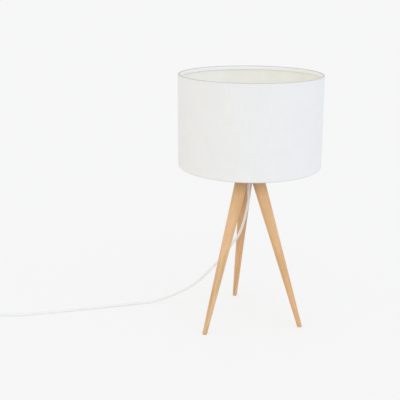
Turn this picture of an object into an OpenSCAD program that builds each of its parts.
// Tripod table lamp: a fabric drum shade on three turned, splayed oak legs.
// Millimetres. +Z is up, and the origin is on the floor, on the shade's axis.
// The back leg stands on +Y, and the cord leaves towards -X.

/* [Legs] */
// Height of the centre of each leg's top above the floor
stand_h = 298; // [240:2:340]
// Angle between each leg and the vertical
leg_splay = 17.4; // [13:0.2:22]
// Diameter of a leg at its top
leg_top_d = 25.4; // [22:0.2:30]
// Diameter of a leg at the floor
leg_foot_d = 9.4; // [8:0.2:14]
// Bevel round the top of a leg
leg_bevel = 1; // [0.4:0.2:2]
// Thickness of the felt pad under a leg
pad_t = 1.4; // [1:0.2:3]

/* [Hub] */
// Thickness of the bent steel plate
plate_t = 2.5; // [2:0.5:4]
// Width of each of the plate's three arms
plate_arm_w = 21; // [16:1:22]
// Shank diameter of the three wood screws
screw_d = 5; // [4:0.5:6]
// Length of a wood screw below its head
screw_len = 38; // [25:1:50]
// Head diameter of a wood screw
screw_head_d = 9.6; // [8:0.2:10.6]
// Head height of a wood screw
screw_head_h = 3; // [2:0.5:4]
// Outside diameter of the threaded tube
tube_d = 10; // [9:0.5:11]
// Bore of the threaded tube
tube_bore_d = 7.6; // [7.2:0.2:8.2]
// Diameter of the round nut under the plate
ring_nut_d = 14; // [13:0.5:16]
// Height of both nuts on the tube
nut_h = 3; // [2:0.5:5]
// Height of the sleeve between the hub and the lampholder
spacer_h = 12; // [8:1:20]

/* [Lampholder] */
// Outside diameter of the lampholder
holder_d = 39; // [38:0.5:44]
// Height of the lampholder's lower cap
cap_h = 22; // [20:1:30]
// Height of the lampholder's upper skirt
skirt_h = 30; // [28:1:36]
// Width of the collar that carries the shade
collar_w = 3.5; // [2.5:0.5:5]
// Height of the collar
collar_h = 4; // [3:0.5:6]
// Wall of the lampholder's mouldings
holder_wall = 1.8; // [1.4:0.2:2.2]
// Height of the nut that clamps the shade
shade_nut_h = 9; // [6:1:12]

/* [Bulb] */
// Diameter of the bulb's glass
bulb_d = 60; // [45:1:70]
// Length of the bulb from its contact to its crown
bulb_len = 105; // [95:1:125]
// Diameter of the bulb's screw cap
bulb_cap_d = 26.4; // [26:0.1:26.8]

/* [Shade] */
// Outside diameter of the shade
shade_d = 280; // [220:5:320]
// Height of the shade
shade_h = 179; // [150:1:220]
// Thickness of the fabric
fabric_t = 0.6; // [0.4:0.1:1]
// Thickness of the stiff lining
lining_t = 0.4; // [0.3:0.1:0.8]
// Wire diameter of the two rims
rim_wire_d = 2.4; // [2:0.2:4]
// Height of the fabric turned in at each rim
hem_h = 9; // [7:0.5:16]
// Width of the lapped side seam
seam_w = 10; // [6:1:16]
// Wire diameter of the three spokes
spoke_d = 3; // [2:0.2:4]
// Height of the fitter ring above the shade's bottom edge
fitter_rise = 8; // [6:0.5:20]
// Width of the fitter ring
fitter_w = 7; // [5.5:0.5:10]
// Thickness of the fitter ring
fitter_t = 2; // [1.5:0.5:3]

/* [Cord] */
// Diameter of the cord
cord_d = 5.2; // [5:0.1:5.4]
// Length of the tapered cord grip below the hub
grip_len = 23; // [20:1:40]
// Length of the tapered sleeve at each end of the switch
sleeve_len = 20; // [20:1:24]
// Spacing of the coil's turns
coil_pitch = 5.7; // [5.6:0.1:6.2]
// Radius of the coil's outermost turn
coil_r = 35.5; // [34:0.1:36]
// Thickness of the tie round the coil
tie_t = 0.6; // [0.4:0.1:0.8]

/* [Switch] */
// Length of the switch housing
switch_l = 58; // [50:1:66]
// Width of the switch housing
switch_w = 24; // [24:1:30]
// Height of the switch housing
switch_h = 17; // [15:0.5:20]
// Wall of the switch housing
switch_wall = 1.6; // [1.2:0.1:2]
// Length of the rocker
rocker_l = 16; // [12:0.5:20]
// Width of the rocker
rocker_w = 9; // [7:0.5:12]
// Angle that the rocker tips through
rocker_throw = 16; // [10:1:20]

/* [Plug] */
// Width of the plug's body
plug_w = 35.4; // [34:0.2:37]
// Thickness of the plug's body
plug_t = 13.8; // [13:0.2:15]
// Length of the plug's body
plug_l = 36; // [32:1:42]
// Distance between the plug's pins
pin_pitch = 18.6; // [17:0.1:19.4]
// Diameter of a pin
pin_d = 4; // [3.6:0.1:4.2]
// Length of a pin
pin_len = 19; // [18:0.5:20]
// Length of the insulated part of a pin
pin_sleeve_len = 10; // [8:0.5:11]

/* [Hidden] */

// Room left between pieces that are glued or wrapped, and between pieces that fit.
glue_gap = 0.05;
fit_gap = 0.1;
// Smoothness of the round forms.
round_fn = 96;
small_fn = 32;
arc_steps = 8;
// Over-reach of every cutting solid.
cut = 1;

// Colours, as the photograph shows them.
oak = "#deb487";
felt = "#8d7a63";
steel = "#b9bcc0";
white_plastic = "#f1f1ee";
brass = "#c9a24e";
fabric_white = "#eceae6";
lining_cream = "#dcdaca";
frosted = "#f4f3ee";

// ---- Legs and hub ----
LEG_ANGLES = [-30, 90, 210];
plate_gap = 0.6;
hub_r = ring_nut_d / 2 + plate_gap + leg_top_d / 2 * cos(leg_splay);
foot_r = hub_r + stand_h * tan(leg_splay);
leg_len = stand_h / cos(leg_splay);
leg_under = 12;
foot_block = 60;
leg_taper = (leg_top_d - leg_foot_d) / 2 / leg_len;
pad_d = leg_foot_d - 1;
screw_hole_d = screw_d + 2 * fit_gap;
screw_tip = 6;
hex_nut_w = tube_d + 4;
fold_r = hex_nut_w / sqrt(3) + 1;
plate_z = stand_h - (hub_r - fold_r) * tan(leg_splay);
plate_top = plate_z + plate_t;
plate_corner_r = fold_r + 4;
tube_hole_d = tube_d + 2 * fit_gap;
tube_z = plate_z - nut_h - 0.6;

// ---- Lampholder ----
cap_z = plate_top + nut_h + spacer_h;
skirt_z = cap_z + cap_h;
seat_z = skirt_z + collar_h;
cap_floor = 3;
tube_top = cap_z + cap_floor + 4;
collar_r = holder_d / 2 + collar_w;
holder_in_r = holder_d / 2 - holder_wall;
insert_r = holder_in_r - fit_gap;
insert_base = 9;
insert_z = skirt_z - insert_base;
shell_r = bulb_cap_d / 2 + 0.5;
shell_t = 0.5;
insert_bore_r = shell_r + shell_t + fit_gap;
insert_top = skirt_z + skirt_h - holder_wall - fit_gap;
shell_h = 22;
contact_z = skirt_z + 2;
terminal_r = 9;
lip_r = insert_bore_r + 0.4;
wire_d = 2;
lead_top = tube_top + 1;

// ---- Bulb ----
bulb_z = contact_z + fit_gap;
bulb_tip_h = 3;
bulb_cap_h = 24;
bulb_neck_r = bulb_cap_d / 2 - 0.8;
glass_t = 1;
bulb_crown_z = bulb_z + bulb_len;
bulb_mid_z = bulb_crown_z - bulb_d / 2;
bulb_cap_top = bulb_z + bulb_tip_h + bulb_cap_h;

// ---- Shade ----
shade_z = seat_z - fitter_rise;
shade_top = shade_z + shade_h;
wall_in_r = shade_d / 2 - fabric_t;
lining_r = wall_in_r - glue_gap;
rim_r = lining_r - lining_t - glue_gap - rim_wire_d / 2;
hem_out_r = rim_r - rim_wire_d / 2 - glue_gap;
hem_in_r = hem_out_r - fabric_t;
roll_r = (shade_d / 2 - hem_in_r) / 2;
roll_c = shade_d / 2 - roll_r;
// The turned-in cloth leaves the roll at this angle and lies against the lining.
hem_wrap = 40;
hem_lie_r = lining_r - lining_t - glue_gap;
seam_t = 0.4;
seam_angle = 166;
seam_sweep = seam_w / (shade_d / 2) * 180 / PI;
SPOKE_ANGLES = [30, 150, 270];
fitter_bore_r = holder_d / 2 + 0.5;
fitter_r = fitter_bore_r + fitter_w;
shade_nut_r = fitter_r - 1;
spoke_in = [fitter_r - 0.5, seat_z + glue_gap + fitter_t / 2];
spoke_out = [rim_r - rim_wire_d / 2 - glue_gap, shade_z + roll_r];
notch_w = spoke_d + 1;
nut_grips = 16;

// ---- Cord: points chosen by hand, from the hub down to the floor and on to the switch ----
grip_top_d = cord_d + 2;
grip_tip_d = cord_d + 0.8;
grip_root = 12;
grip_collar_t = 1.6;
cord_exit = [0, 0, tube_z - grip_len];
cord_axis = 7.5;
CORD_RUN = [[0, 0, 268], [0, 0, 256], [-2, 1, 243], [-4, 2, 230], [-7, 4, 214], [-11, 7, 197],
    [-17, 10, 180], [-26, 15, 163], [-37, 21, 145], [-49, 28, 126], [-61, 35, 107],
    [-75, 42, 88.5], [-90, 50, 70], [-106, 59, 53.5], [-125, 70, 38], [-145, 81, 24.5],
    [-165, 91.5, 13], [-184, 98.5, 5.5], [-203, 101, 2.6], [-225, 100, 2.6], [-252, 97, 2.6],
    [-284, 94.5, 2.6], [-320, 92, 2.6], [-358, 90, 2.6], [-398, 87.5, 2.6], [-436, 85.5, 2.6],
    [-466, 84, 3.2], [-488, 83, 5.4], [-503, 83, 7.2], [-512, 83, 7.5]];
switch_in = [-512, 83];
switch_y = switch_in[1];
switch_x1 = switch_in[0] - sleeve_len;
// The free drop stretches with the stand, and the stretch on the floor stays as it is.
drop = cord_exit[2] / CORD_RUN[0][2];
run_points = concat([for (p = CORD_RUN) [p[0], p[1], p[2] > 10 ? p[2] * drop : p[2]]],
    [[switch_x1, switch_y, cord_axis]]);
switch_x0 = switch_x1 - switch_l;
switch_cx = (switch_x0 + switch_x1) / 2;
sleeve_tip_x = switch_x0 - sleeve_len;

// ---- Coil ----
coil_turns = 5.25;
coil_lift = tie_t + fit_gap;
coil_low_z = coil_lift + cord_d / 2;
tail_len = 36;
coil_c = [sleeve_tip_x - tail_len, switch_y - coil_r];
coil_in_r = coil_r - coil_pitch * coil_turns / 2;
COIL_SIDES = 6;
COIL_RINGS = 24;
end_len = 36;
plug_grip_len = 28;
end_x = coil_c[0] - coil_r;
end_y = coil_c[1] - end_len;
plug_axis = plug_t / 2;
// The coil's two ends run straight for one cord diameter before they meet the next stretch.
coil_high_z = coil_low_z + coil_pitch;
coil_start = [coil_c[0] + cord_d, switch_y, coil_low_z];
coil_end = [end_x, coil_c[1] - cord_d, coil_high_z];
CORD_TAIL = [[switch_x0, switch_y, cord_axis], [switch_x0 - 8, switch_y, cord_axis],
    [sleeve_tip_x, switch_y, cord_axis], [sleeve_tip_x - 6, switch_y, 7.1],
    [sleeve_tip_x - 13, switch_y, 5.6], [sleeve_tip_x - 19, switch_y, 4],
    [sleeve_tip_x - 24, switch_y, coil_low_z], coil_start];
CORD_END = [coil_end, [end_x, coil_c[1] - 11, coil_high_z], [end_x, coil_c[1] - 18, 8.5],
    [end_x, coil_c[1] - 25, 7.3], [end_x, coil_c[1] - 30, plug_axis],
    [end_x, end_y, plug_axis], [end_x, end_y - 12, plug_axis],
    [end_x, end_y - plug_grip_len, plug_axis]];
tie_angle = 300;
tie_w = 6;

// ---- Switch ----
split_z = cord_axis;
pivot_z = switch_h - 4.5;
pivot_d = 2.6;
pivot_len = rocker_w + 5;
rocker_drop = 5;
rocker_gap = 0.5;
rocker_skirt = 4.2;
rocker_proud = 0.6;
pivot_gap = 0.3;
switch_corner = 7;
switch_edge = 2.5;
sleeve_d = 9.4;
sleeve_tip_d = cord_d + 1.2;
terminal_block = [7, 5, 4.5];
block_x = 14;
case_screw_x = switch_l / 2 - 12;
case_screw_y = switch_w / 2 - 4.4;
case_screw_d = 2.2;
case_screw_head = 4;
case_boss_d = case_screw_head + 1.2;

// ---- Plug ----
plug_grip_d = 9;
plug_back_y = end_y - plug_grip_len;
plug_front_y = plug_back_y - plug_l;
plug_rear_w = 14;
pin_sleeve_r = pin_d / 2 - 0.2;
pin_stem_r = pin_d / 2 - 0.6;
pin_root = 11;

// ---- Shared shapes ----
// Points of an arc about c, from angle a0 to a1.
function arc(c, r, a0, a1, n = arc_steps) =
    [for (i = [0 : n]) c + r * [cos(a0 + (a1 - a0) * i / n), sin(a0 + (a1 - a0) * i / n)]];

// A solid of revolution from a list of [radius, height] points.
module turned(points, fn = round_fn) {
    rotate_extrude($fn = fn) polygon(points);
}

// A pipe: outer radius, inner radius, lower and upper height.
module pipe(r_out, r_in, z0, z1, fn = round_fn) {
    turned([[r_in, z0], [r_out, z0], [r_out, z1], [r_in, z1]], fn);
}

// A rectangle with round corners, centred.
module round_rect(w, h, r) {
    square([w - 2 * r, h], center = true);
    square([w, h - 2 * r], center = true);
    for (x = [-1, 1], y = [-1, 1])
        translate([x * (w / 2 - r), y * (h / 2 - r)]) circle(r = r, $fn = small_fn);
}

// Place children on a leg: local +Z climbs the leg's axis from the floor.
module on_leg(angle) {
    rotate([0, 0, angle]) translate([foot_r, 0, 0]) rotate([0, -leg_splay, 0]) children();
}

// ---- Swept tubes ----
function unit(v) = v / norm(v);
// One point of a smooth curve through four neighbours, at u from 0 to 1 between b and c.
function smooth_point(a, b, c, d, u) =
    b + u / 2 * ((c - a) + u * ((2 * a - 5 * b + 4 * c - d) + u * (3 * (b - c) + d - a)));
function neighbour(p, i) =
    i < 0 ? 2 * p[0] - p[1] : i >= len(p) ? 2 * p[len(p) - 1] - p[len(p) - 2] : p[i];
// The curve through all points of p, with rings about step apart.
function smooth_path(p, step) = concat([for (i = [0 : len(p) - 2])
    let (n = max(1, round(norm(p[i + 1] - p[i]) / step)))
    for (k = [0 : n - 1])
        smooth_point(neighbour(p, i - 1), p[i], p[i + 1], neighbour(p, i + 2), k / n)],
    [p[len(p) - 1]]);
// A cord's centre line never comes nearer the floor than its own radius.
function laid(p) = [for (q = p) [q[0], q[1], max(q[2], cord_d / 2)]];
function tangent(p, i) =
    unit(i == 0 ? p[1] - p[0] : i == len(p) - 1 ? p[i] - p[i - 1] : p[i + 1] - p[i - 1]);
function path_length(p, i = 1) =
    i >= len(p) ? 0 : norm(p[i] - p[i - 1]) + path_length(p, i + 1);
// Sideways direction of the first ring, square to the tangent and level where it can be.
function first_side(t) = abs(t[2]) > 0.999 ? [0, 1, 0] : unit(cross([0, 0, 1], t));
// The same direction handed on from ring to ring, square to each tangent, so nothing twists.
function handed_on(s, t) = unit(s - (s * t) * t);
function ring_sides(p) = [for (s = first_side(tangent(p, 0)), i = 0; i < len(p);
    s = handed_on(s, tangent(p, min(i + 1, len(p) - 1))), i = i + 1) s];
function ring_points(p, i, s, r, sides) =
    let (u = cross(tangent(p, i), s))
    [for (k = [0 : sides - 1]) p[i] + r * (cos(360 * k / sides) * s + sin(360 * k / sides) * u)];

// A closed tube along p, in triangles.
module tube(p, r, sides) {
    n = len(p);
    across = ring_sides(p);
    rings = [for (i = [0 : n - 1]) each ring_points(p, i, across[i], r, sides)];
    centres = [p[0], p[n - 1]];
    walls = [for (i = [0 : n - 2], k = [0 : sides - 1])
        let (a = i * sides + k, b = i * sides + (k + 1) % sides)
        each [[a, a + sides, b], [b, a + sides, b + sides]]];
    low = n * sides;
    ends = [for (k = [0 : sides - 1])
        let (k2 = (k + 1) % sides, e = (n - 1) * sides)
        each [[low, k, k2], [low + 1, e + k2, e + k]]];
    polyhedron(concat(rings, centres), concat(walls, ends), convexity = 8);
}

// ---- Legs ----
module leg(angle) {
    color(oak) difference() {
        on_leg(angle) difference() {
            turned([[0, -leg_under], [leg_foot_d / 2 - leg_under * leg_taper, -leg_under],
                [leg_top_d / 2 - leg_bevel * leg_taper, leg_len - leg_bevel],
                [leg_top_d / 2 - leg_bevel, leg_len], [0, leg_len]]);
            translate([0, 0, leg_len - screw_len])
                cylinder(d = screw_hole_d, h = screw_len + cut, $fn = small_fn);
        }
        rotate([0, 0, angle]) translate([foot_r - foot_block / 2, -foot_block / 2, -foot_block])
            cube([foot_block, foot_block, foot_block + pad_t]);
    }
}
module leg_right() { leg(LEG_ANGLES[0]); }
module leg_back() { leg(LEG_ANGLES[1]); }
module leg_left() { leg(LEG_ANGLES[2]); }

module foot_pad(angle) {
    color(felt) rotate([0, 0, angle]) translate([foot_r - pad_t * tan(leg_splay), 0, 0])
        cylinder(d = pad_d, h = pad_t, $fn = small_fn);
}
module foot_pad_right() { foot_pad(LEG_ANGLES[0]); }
module foot_pad_back() { foot_pad(LEG_ANGLES[1]); }
module foot_pad_left() { foot_pad(LEG_ANGLES[2]); }

// ---- Hub ----
// One sheet with three arms folded up square to the legs.
module hub_plate() {
    fold_x = (hub_r - fold_r) / cos(leg_splay);
    color(white_plastic) difference() {
        union() {
            translate([0, 0, plate_z]) linear_extrude(plate_t) intersection() {
                rotate(30) circle(r = 2 * fold_r, $fn = 3);
                circle(r = plate_corner_r, $fn = round_fn);
            }
            for (angle = LEG_ANGLES) on_leg(angle) translate([0, 0, leg_len])
                linear_extrude(plate_t) {
                    circle(d = plate_arm_w, $fn = round_fn);
                    translate([-fold_x, -plate_arm_w / 2]) square([fold_x, plate_arm_w]);
                }
        }
        translate([0, 0, plate_z - cut])
            cylinder(d = tube_hole_d, h = plate_t + 2 * cut, $fn = small_fn);
        for (angle = LEG_ANGLES) on_leg(angle) translate([0, 0, leg_len - cut])
            cylinder(d = screw_hole_d, h = plate_t + 2 * cut, $fn = small_fn);
    }
}

// Three countersunk-slot pan heads on shanks that run down into the legs.
module leg_screws() {
    slot_w = 1.2;
    slot_depth = 1.4;
    color(steel) for (angle = LEG_ANGLES) on_leg(angle)
        translate([0, 0, leg_len + plate_t]) difference() {
            turned([[0, fit_gap - screw_len], [screw_d / 2, screw_tip - screw_len],
                [screw_d / 2, 0], [screw_head_d / 2, 0], [screw_head_d / 2, screw_head_h / 2],
                [screw_head_d / 2 - 1, screw_head_h], [0, screw_head_h]], small_fn);
            translate([-slot_w / 2, -screw_head_d, screw_head_h - slot_depth])
                cube([slot_w, 2 * screw_head_d, slot_depth + cut]);
        }
}

module threaded_tube() {
    color(steel) pipe(tube_d / 2, tube_bore_d / 2, tube_z, tube_top, small_fn);
}

module ring_nut() {
    color(steel) pipe(ring_nut_d / 2, tube_hole_d / 2, plate_z - nut_h, plate_z, round_fn);
}

module hex_nut() {
    color(steel) translate([0, 0, plate_top]) difference() {
        cylinder(d = hex_nut_w * 2 / sqrt(3), h = nut_h, $fn = 6);
        translate([0, 0, -cut]) cylinder(d = tube_hole_d, h = nut_h + 2 * cut, $fn = small_fn);
    }
}

module spacer_sleeve() {
    color(white_plastic)
        pipe(hex_nut_w / 2 - 0.5, tube_hole_d / 2, plate_top + nut_h, cap_z, round_fn);
}

// The moulded grip sits in the tube's mouth, closes it with a collar and tapers down the cord.
module cord_grip() {
    bore = cord_d / 2 + glue_gap;
    stem_r = tube_bore_d / 2 - fit_gap;
    flange_r = tube_d / 2 - 0.4;
    flange_z = tube_z - grip_collar_t;
    tip_z = cord_exit[2];
    color(white_plastic) turned([[bore, tip_z], [grip_tip_d / 2, tip_z],
        [grip_top_d / 2, flange_z], [flange_r, flange_z], [flange_r, tube_z],
        [stem_r, tube_z], [stem_r, tube_z + grip_root], [bore, tube_z + grip_root]], small_fn);
}

// The cord goes on inside the grip and the tube, up into the lampholder.
module inner_lead() {
    color(white_plastic) translate(cord_exit)
        cylinder(d = cord_d, h = lead_top - cord_exit[2], $fn = small_fn);
}

// ---- Lampholder ----
module holder_cap() {
    r = holder_d / 2;
    boss_r = hex_nut_w / 2 + 1;
    dome_r = 9;
    ledge = insert_z;
    color(white_plastic) turned(concat(
        [[tube_hole_d / 2, cap_z], [boss_r, cap_z]],
        arc([r - dome_r, cap_z + dome_r], dome_r, -75, 0),
        [[r, skirt_z], [holder_in_r, skirt_z], [holder_in_r, ledge],
        [holder_in_r - 1.6, ledge], [holder_in_r - 1.6, cap_z + dome_r],
        [boss_r + 1, cap_z + cap_floor], [tube_hole_d / 2, cap_z + cap_floor]]));
}

// The heat-proof core: a solid foot with two wire channels and a round well for the shell.
module holder_insert() {
    color("#e3e0d6") difference() {
        turned([[0, insert_z], [insert_r, insert_z], [insert_r, insert_top],
            [insert_bore_r, insert_top], [insert_bore_r, skirt_z], [0, skirt_z]]);
        for (side = [-1, 1]) translate([side * terminal_r, 0, insert_z - cut])
            cylinder(d = 5, h = insert_base + 2 * cut, $fn = small_fn);
    }
}

module holder_skirt() {
    r = holder_d / 2;
    top = skirt_z + skirt_h;
    bevel = 0.8;
    color(white_plastic) turned([[holder_in_r, skirt_z], [collar_r, skirt_z],
        [collar_r, seat_z], [r, seat_z], [r, top - bevel], [r - bevel, top], [lip_r, top],
        [lip_r, top - holder_wall], [holder_in_r, top - holder_wall]]);
}

module screw_shell() {
    color(brass) pipe(shell_r + shell_t, shell_r, skirt_z + fit_gap, skirt_z + shell_h);
}

// A sprung tongue under the bulb's tip.
module centre_contact() {
    tongue = [12, 5, 0.5];
    color(brass) {
        translate([-tongue[0] / 2, -tongue[1] / 2, skirt_z + fit_gap]) cube(tongue);
        translate([0, 0, skirt_z + fit_gap])
            cylinder(r = 2, h = contact_z - skirt_z - fit_gap, $fn = small_fn);
    }
}

module terminal_screws() {
    color(brass) for (side = [-1, 1]) translate([side * terminal_r, 0, insert_z + fit_gap])
        cylinder(d = 4.6, h = insert_base - 1.5, $fn = small_fn);
}

// The two cores fan out from the cord's end to the terminals on two round bends each.
module holder_wires() {
    bend = 2;
    core_x = wire_d / 2 + 0.5;
    z0 = lead_top + fit_gap;
    z1 = insert_z - fit_gap;
    route = concat([[core_x, z0]], arc([core_x + bend, z1 - 2 * bend - 0.4], bend, 180, 90),
        arc([terminal_r - bend, z1 - 0.4], bend, -90, 0), [[terminal_r, z1]]);
    color("#b9895a") for (side = [-1, 1])
        tube([for (q = route) [side * q[0], 0, q[1]]], wire_d / 2, 8);
}

// A fluted ring nut that clamps the shade's fitter on the collar.
module shade_nut() {
    r = shade_nut_r;
    bore = holder_d / 2 + fit_gap;
    flange = 3;
    grip_r = 1.5;
    color(white_plastic) translate([0, 0, seat_z + fitter_t + fit_gap]) difference() {
        turned([[bore, 0], [r, 0], [r, flange], [r - 2, flange + 1],
            [r - 3, shade_nut_h], [bore, shade_nut_h]]);
        for (i = [0 : nut_grips - 1]) rotate([0, 0, i * 360 / nut_grips])
            translate([r, 0, -cut])
                cylinder(r = grip_r, h = shade_nut_h + 2 * cut, $fn = small_fn);
    }
}

// ---- Bulb ----
module bulb_cap() {
    r = bulb_cap_d / 2;
    z = bulb_z + bulb_tip_h;
    color(steel) turned([[bulb_neck_r - 3, z], [r - 3, z], [r, z + 3], [r, bulb_cap_top],
        [bulb_neck_r + 0.05, bulb_cap_top], [bulb_neck_r + 0.05, z + 4],
        [bulb_neck_r - 3, z + 1.5]]);
}

module bulb_contact() {
    insulator_r = bulb_neck_r - 3 - glue_gap;
    color("#2a2a2c") turned([[0, bulb_z], [3, bulb_z], [4.4, bulb_z + 1.2],
        [insulator_r, bulb_z + bulb_tip_h], [insulator_r, bulb_z + bulb_tip_h + 1.4],
        [0, bulb_z + bulb_tip_h + 1.4]], small_fn);
}

// A blown shell: a round crown that falls into the neck on a long inward curve.
function flare(r_neck, r_mid, z0, z1, n) =
    [for (i = [0 : n]) [r_neck + (r_mid - r_neck) * (1 - cos(180 * i / n)) / 2,
        z0 + (z1 - z0) * i / n]];
module bulb_glass() {
    z0 = bulb_z + bulb_tip_h + 5;
    r = bulb_d / 2;
    neck_top = bulb_cap_top;
    outer = concat([[bulb_neck_r, z0]], flare(bulb_neck_r, r, neck_top, bulb_mid_z, 12),
        arc([0, bulb_mid_z], r, 0, 90, 12));
    inner = concat(arc([0, bulb_mid_z], r - glass_t, 90, 0, 12),
        flare(r - glass_t, bulb_neck_r - glass_t, bulb_mid_z, neck_top, 12),
        [[bulb_neck_r - glass_t, z0]]);
    color(frosted) turned(concat(outer, inner));
}

// ---- Shade ----
// One cloth wall, rolled over both rim wires and turned in as a hem, with a slit at each spoke.
// Height above the roll's centre at which the turned-in cloth meets radius lie.
function hem_rise(r, lie) =
    r * sin(hem_wrap) + (lie - roll_c + r * cos(hem_wrap)) / tan(hem_wrap);
module shade_fabric() {
    low = [roll_c, shade_z + roll_r];
    high = [roll_c, shade_top - roll_r];
    thin_r = roll_r - fabric_t;
    lie_in = hem_lie_r - fabric_t;
    rise_in = hem_rise(roll_r, lie_in);
    rise_out = hem_rise(thin_r, hem_lie_r);
    spoke_z = spoke_out[1];
    color(fabric_white) difference() {
        turned(concat(
            [[lie_in, shade_z + hem_h], [lie_in, low[1] + rise_in]],
            arc(low, roll_r, 180 - hem_wrap, 360, 2 * arc_steps),
            arc(high, roll_r, 0, 180 + hem_wrap, 2 * arc_steps),
            [[lie_in, high[1] - rise_in], [lie_in, shade_top - hem_h],
            [hem_lie_r, shade_top - hem_h], [hem_lie_r, high[1] - rise_out]],
            arc(high, thin_r, 180 + hem_wrap, 0, 2 * arc_steps),
            arc(low, thin_r, 360, 180 - hem_wrap, 2 * arc_steps),
            [[hem_lie_r, low[1] + rise_out], [hem_lie_r, shade_z + hem_h]]), 128);
        for (angle = SPOKE_ANGLES) rotate([0, 0, angle]) {
            translate([hem_in_r - cut, -notch_w / 2, spoke_z - spoke_d / 2 - 0.3])
                cube([cut + fabric_t + 0.3, notch_w, spoke_d + hem_h]);
            translate([hem_in_r - cut, -notch_w / 2, spoke_z + rim_wire_d / 2])
                cube([hem_lie_r - hem_in_r + cut + 0.01, notch_w, hem_h]);
        }
    }
}

module shade_lining() {
    color(lining_cream)
        pipe(lining_r, lining_r - lining_t, shade_z + roll_r, shade_top - roll_r, 128);
}

module shade_seam() {
    color(fabric_white) rotate([0, 0, seam_angle - seam_sweep / 2])
        rotate_extrude(angle = seam_sweep, $fn = 128)
            translate([shade_d / 2, shade_z + roll_r]) square([seam_t, shade_h - 2 * roll_r]);
}

module rim_wire(z) {
    color(steel) rotate_extrude($fn = 128) translate([rim_r, z])
        circle(d = rim_wire_d, $fn = small_fn);
}
module top_rim_wire() { rim_wire(shade_top - roll_r); }
module bottom_rim_wire() { rim_wire(shade_z + roll_r); }

// The fitter ring and its three spokes, welded to the bottom rim.
module spider() {
    run = spoke_out - spoke_in;
    tilt = atan2(run[0], run[1]);
    color(white_plastic) difference() {
        union() {
            translate([0, 0, seat_z + glue_gap])
                cylinder(r = fitter_r, h = fitter_t, $fn = round_fn);
            for (angle = SPOKE_ANGLES) rotate([0, 0, angle])
                translate([spoke_in[0], 0, spoke_in[1]]) rotate([0, tilt, 0])
                    cylinder(d = spoke_d, h = norm(run), $fn = small_fn);
        }
        translate([0, 0, seat_z - 5]) cylinder(r = fitter_bore_r, h = 10, $fn = round_fn);
    }
}

// ---- Cord ----
run_path = laid(smooth_path(run_points, 2.5 * cord_d));
tail_path = laid(smooth_path(CORD_TAIL, 2 * cord_d));
end_path = laid(smooth_path(CORD_END, 2 * cord_d));

module cord_run() { color(white_plastic) tube(run_path, cord_d / 2, 10); }
module cord_tail() { color(white_plastic) tube(tail_path, cord_d / 2, 10); }
module cord_end() { color(white_plastic) tube(end_path, cord_d / 2, 10); }

// The put-away length: one unbroken tube that winds inwards on the floor, climbs a layer in
// the half turn where the spiral reverses, and winds out again on top.
function coil_point(t) =
    let (mid = coil_turns / 2, a = 90 + 360 * t, r = coil_in_r + coil_pitch * abs(t - mid),
        climb = min(1, max(0, (t - mid + 0.25) / 0.5)),
        rise = coil_pitch * (1 - cos(180 * climb)) / 2)
    [coil_c[0] + r * cos(a), coil_c[1] + r * sin(a), coil_low_z + rise];
coil_steps = round(coil_turns * COIL_RINGS);
coil_path = concat([coil_start],
    [for (i = [0 : coil_steps]) coil_point(coil_turns * i / coil_steps)], [coil_end]);
module cord_coil() {
    color(white_plastic) tube(coil_path, cord_d / 2, COIL_SIDES);
}
// Least distance between ring centres at least a quarter turn apart, less the cord itself.
coil_gap = min([for (i = [0 : coil_steps + 2], j = [i + COIL_RINGS / 4 : coil_steps + 2])
    norm(coil_path[i] - coil_path[j])]) - cord_d;

// A flat strap round all the turns at one place, its two ends twisted together outside.
module coil_tie() {
    room = 0.4;
    corner = 3;
    inner_r = coil_in_r - cord_d / 2 - room;
    outer_r = coil_r - coil_pitch * (tie_angle - 90) / 360 + cord_d / 2 + room;
    span = outer_r - inner_r;
    height = coil_pitch + cord_d + room;
    twist_len = 9;
    color("#d9d9d6") translate([coil_c[0], coil_c[1], 0]) rotate([0, 0, tie_angle]) {
        translate([(inner_r + outer_r) / 2, tie_w / 2, tie_t + height / 2])
            rotate([90, 0, 0]) linear_extrude(tie_w) difference() {
                round_rect(span + 2 * tie_t, height + 2 * tie_t, corner);
                round_rect(span, height, corner - tie_t);
            }
        translate([outer_r + tie_t / 2, 0, height / 2]) rotate([0, 90, 0])
            cylinder(d1 = 2.4, d2 = 1.6, h = twist_len, $fn = small_fn);
    }
}

// ---- In-line switch ----
// The housing's outer form: a plan and two elevations with round corners, intersected.
module switch_block(inset) {
    l = switch_l - 2 * inset;
    w = switch_w - 2 * inset;
    h = switch_h - 2 * inset;
    edge = max(0.6, switch_edge - inset);
    translate([switch_cx, switch_y, switch_h / 2]) intersection() {
        translate([0, 0, -h / 2]) linear_extrude(h) round_rect(l, w, switch_corner - inset);
        rotate([90, 0, 0]) translate([0, 0, -w / 2]) linear_extrude(w) round_rect(l, h, edge);
        rotate([90, 0, 90]) translate([0, 0, -l / 2]) linear_extrude(l) round_rect(w, h, edge);
    }
}

module switch_shell(z0, z1) {
    intersection() {
        difference() {
            switch_block(0);
            switch_block(switch_wall);
            translate([switch_x0 - cut, switch_y, cord_axis]) rotate([0, 90, 0])
                cylinder(d = sleeve_d + 2 * fit_gap, h = switch_l + 2 * cut, $fn = small_fn);
        }
        translate([switch_x0 - cut, switch_y - switch_w, z0])
            cube([switch_l + 2 * cut, 2 * switch_w, z1 - z0]);
    }
}

module case_screw_places() {
    for (side = [-1, 1]) translate([switch_cx + side * case_screw_x,
        switch_y + side * case_screw_y, 0]) children();
}

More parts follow.
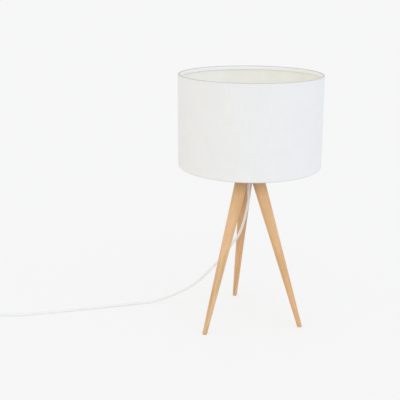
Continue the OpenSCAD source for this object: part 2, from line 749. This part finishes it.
module switch_base() {
    color(white_plastic) difference() {
        union() {
            switch_shell(0, split_z);
            case_screw_places() translate([0, 0, switch_wall / 2])
                cylinder(d = case_boss_d, h = split_z - switch_wall / 2,
                    $fn = small_fn);
        }
        case_screw_places() translate([0, 0, -cut])
            cylinder(d = case_screw_head + 2 * fit_gap, h = cut + 2.4, $fn = small_fn);
        case_screw_places() translate([0, 0, -cut])
            cylinder(d = case_screw_d + 2 * fit_gap, h = switch_h, $fn = small_fn);
    }
}

module switch_cover() {
    window = [rocker_l + 2 * rocker_gap, rocker_w + 2 * rocker_gap];
    ear_t = 2;
    color(white_plastic) difference() {
        union() {
            switch_shell(split_z, switch_h);
            for (side = [-1, 1]) translate([switch_cx - 3,
                switch_y + side * (rocker_w / 2 + rocker_gap + ear_t / 2) - ear_t / 2,
                pivot_z - 3]) cube([6, ear_t, switch_h - switch_wall / 2 - pivot_z + 3]);
            case_screw_places() translate([0, 0, split_z])
                cylinder(d = case_boss_d, h = switch_h - split_z - switch_wall / 2,
                    $fn = small_fn);
        }
        translate([switch_cx - window[0] / 2, switch_y - window[1] / 2,
            switch_h - switch_wall - cut]) cube([window[0], window[1], switch_wall + 2 * cut]);
        translate([switch_cx, switch_y, pivot_z]) rotate([90, 0, 0])
            cylinder(d = pivot_d + 2 * pivot_gap, h = pivot_len + cut, center = true,
                $fn = small_fn);
        case_screw_places() translate([0, 0, split_z - cut])
            cylinder(d = case_screw_d + 2 * fit_gap, h = cut + 5.5, $fn = small_fn);
    }
}

// The rocker, at rest with its switch-side end pressed in: a shallow V-shaped key on a pin.
module switch_rocker() {
    half = rocker_l / 2;
    lean = rocker_throw / 2;
    top = switch_h - pivot_z + rocker_proud;
    end_x = half - rocker_proud;
    wing = half * tan(lean);
    color("#e9e9e5") translate([switch_cx, switch_y, pivot_z]) rotate([90, 0, 0])
        rotate([0, 0, lean]) {
            linear_extrude(rocker_w, center = true) polygon(concat(
                [[-end_x, top - rocker_skirt + wing], [-end_x, top + wing]],
                [for (i = [1 : 7]) let (x = end_x * (i / 4 - 1))
                    [x, top + wing * pow(abs(x) / half, 1.5)]],
                [[end_x, top + wing], [end_x, top - rocker_skirt + wing],
                [3, -1.8], [1.2, -rocker_drop], [-1.2, -rocker_drop], [-3, -1.8]]));
            cylinder(d = pivot_d, h = pivot_len, center = true, $fn = small_fn);
        }
}

module switch_contacts() {
    color(brass) for (side = [-1, 1])
        translate([switch_cx + side * block_x - terminal_block[0] / 2,
            switch_y - terminal_block[1] / 2, switch_wall + fit_gap]) cube(terminal_block);
}

// The unbroken core along one side of the floor, and the two cut ends of the switched core.
module switch_leads() {
    reach = switch_l / 2 - 3;
    low_z = switch_wall + fit_gap + wire_d / 2;
    top_z = switch_wall + fit_gap + terminal_block[2] + wire_d / 2;
    side_y = terminal_block[1] / 2 + 0.2 + wire_d / 2;
    block_end = block_x + terminal_block[0] / 2;
    half = [[reach, 1.2, cord_axis], [reach - 1.5, 1.2, cord_axis], [reach - 4, 2.4, 5.4],
        [block_end + 2, side_y, low_z + 0.4], [block_end - 1, side_y, low_z]];
    core = concat(half, [for (i = [len(half) - 1 : -1 : 0])
        [-half[i][0], half[i][1], half[i][2]]]);
    color("#b9895a") translate([switch_cx, switch_y, 0]) {
        tube(smooth_path(core, 3), wire_d / 2, 8);
        for (side = [-1, 1]) translate([side > 0 ? block_x - 2 : -reach, -1.1, top_z])
            rotate([0, 90, 0])
                cylinder(d = wire_d, h = reach - block_x + 2, $fn = small_fn);
    }
}

module switch_screws() {
    color(steel) case_screw_places() translate([0, 0, 0.5]) {
        cylinder(d = case_screw_head, h = 1.8, $fn = small_fn);
        cylinder(d = case_screw_d, h = split_z + 4, $fn = small_fn);
    }
}

// A tapered sleeve at each end, with ribs that let it flex, held in the housing by its root.
module switch_sleeve() {
    bore = cord_d / 2 + glue_gap;
    root = sleeve_d / 2;
    tip = sleeve_tip_d / 2;
    ribs = 5;
    rib_pitch = (sleeve_len - 4) / ribs;
    profile = [for (i = [0 : ribs - 1]) let (x = 2 + rib_pitch * i,
        r = root - 0.6 - (root - 0.6 - tip) * x / sleeve_len)
        each [[r, x], [r, x + rib_pitch * 0.6], [r - 0.5, x + rib_pitch * 0.6],
            [r - 0.5, x + rib_pitch]]];
    turned(concat([[bore, -4], [root, -4], [root, 0], [root - 0.6, 0]], profile,
        [[tip, sleeve_len - 2], [tip, sleeve_len], [bore, sleeve_len]]), small_fn);
}
module switch_sleeves() {
    color(white_plastic) {
        translate([switch_x1, switch_y, cord_axis]) rotate([0, 90, 0]) switch_sleeve();
        translate([switch_x0, switch_y, cord_axis]) rotate([0, -90, 0]) switch_sleeve();
    }
}

// ---- Plug ----
// Place children at the plug's front face: local +Z points along the pins.
module at_plug() {
    translate([end_x, plug_front_y, plug_axis]) rotate([90, 0, 0]) children();
}

// Seen from above the body narrows to the cord; seen from the side its edges are round.
module plug_body() {
    half = plug_w / 2;
    rear = plug_rear_w / 2;
    waist = plug_l * 0.45;
    color(white_plastic) at_plug() difference() {
        intersection() {
            rotate([-90, 0, 0]) translate([0, 0, -plug_t / 2]) linear_extrude(plug_t)
                polygon(concat([[-rear, plug_l], [rear, plug_l]],
                    [for (i = [1 : 7]) let (s = i / 8)
                        [rear + (half - 1 - rear) * (1 - cos(180 * s)) / 2,
                            plug_l - (plug_l - waist) * s]],
                    [[half, waist], [half, 1.5], [half - 1.5, 0], [1.5 - half, 0],
                    [-half, 1.5], [-half, waist]],
                    [for (i = [7 : -1 : 1]) let (s = i / 8)
                        [-rear - (half - 1 - rear) * (1 - cos(180 * s)) / 2,
                            plug_l - (plug_l - waist) * s]]));
            translate([0, 0, -plug_l - cut]) linear_extrude(plug_l + 2 * cut)
                round_rect(plug_w, plug_t, 3.5);
        }
        for (side = [-1, 1]) translate([side * pin_pitch / 2, 0, -pin_root - fit_gap])
            cylinder(r = pin_sleeve_r + fit_gap, h = pin_root + fit_gap + cut, $fn = small_fn);
    }
}

// Bare metal ends in front of the insulated length, carried by a thinner stem inside it.
module plug_pins() {
    r = pin_d / 2;
    color(steel) at_plug() for (side = [-1, 1]) translate([side * pin_pitch / 2, 0, 0])
        turned([[0, -pin_root], [pin_sleeve_r, -pin_root], [pin_sleeve_r, -1],
            [pin_stem_r, -1], [pin_stem_r, pin_sleeve_len], [r, pin_sleeve_len],
            [r, pin_len - 1.2], [r - 0.5, pin_len - 0.3], [r - 1.1, pin_len],
            [0, pin_len]], small_fn);
}

module plug_pin_sleeves() {
    color("#e4e4e0") at_plug() for (side = [-1, 1]) translate([side * pin_pitch / 2, 0, 0])
        pipe(pin_sleeve_r, pin_stem_r + glue_gap, glue_gap - 1, pin_sleeve_len - glue_gap,
            small_fn);
}

// A ribbed, tapered grip behind the plug.
module plug_grip() {
    bore = cord_d / 2 + glue_gap;
    root = plug_grip_d / 2;
    tip = cord_d / 2 + 0.5;
    ribs = 7;
    rib_pitch = (plug_grip_len - 5) / ribs;
    profile = [for (i = [0 : ribs - 1]) let (x = 3 + rib_pitch * i,
        r = root - (root - tip) * x / plug_grip_len)
        each [[r, x], [r, x + rib_pitch * 0.6], [r - 0.5, x + rib_pitch * 0.6],
            [r - 0.5, x + rib_pitch]]];
    color(white_plastic) translate([end_x, plug_back_y, plug_axis]) rotate([-90, 0, 0])
        turned(concat([[bore, 0], [root, 0]], profile,
            [[tip, plug_grip_len - 2], [tip, plug_grip_len], [bore, plug_grip_len]]), small_fn);
}

echo(coil_gap = coil_gap, run = path_length(run_path), tail = path_length(tail_path),
    coil = path_length(coil_path), end = path_length(end_path));

leg_right();
leg_back();
leg_left();
foot_pad_right();
foot_pad_back();
foot_pad_left();
hub_plate();
leg_screws();
threaded_tube();
ring_nut();
hex_nut();
spacer_sleeve();
cord_grip();
inner_lead();
holder_cap();
holder_insert();
holder_skirt();
screw_shell();
centre_contact();
terminal_screws();
holder_wires();
shade_nut();
bulb_cap();
bulb_contact();
bulb_glass();
shade_fabric();
shade_lining();
shade_seam();
top_rim_wire();
bottom_rim_wire();
spider();
cord_run();
switch_base();
switch_cover();
switch_rocker();
switch_contacts();
switch_leads();
switch_screws();
switch_sleeves();
cord_tail();
cord_coil();
cord_end();
coil_tie();
plug_grip();
plug_body();
plug_pins();
plug_pin_sleeves();
